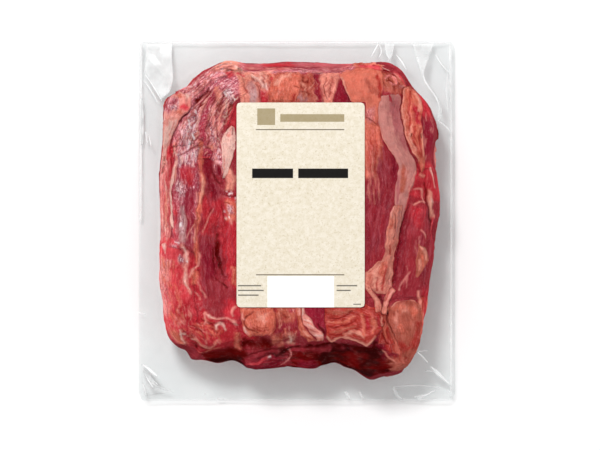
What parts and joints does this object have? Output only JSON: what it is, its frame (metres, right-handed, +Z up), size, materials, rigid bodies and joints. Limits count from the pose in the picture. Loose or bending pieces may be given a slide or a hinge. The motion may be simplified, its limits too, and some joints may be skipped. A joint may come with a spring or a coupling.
{
  "type": "vacuum-packed boneless ribeye",
  "caption": "Thick slab of raw boneless ribeye, vacuum-packed in a clear film pouch with a flat welded border and a cream paper label on top.",
  "frame": {"origin": "on the surface the pack lies on, under the middle of the pouch", "axes": "+X across the pack, +Y along its longer side towards the label's top edge, +Z up"},
  "size_m": [0.25, 0.284, 0.065],
  "materials": {
    "packed_meat": "gloss",
    "label_paper": "matte"
  },
  "bodies": {
    "root": {"pouch": "packed_meat", "label": "label_paper"}
  },
  "joints": []
}
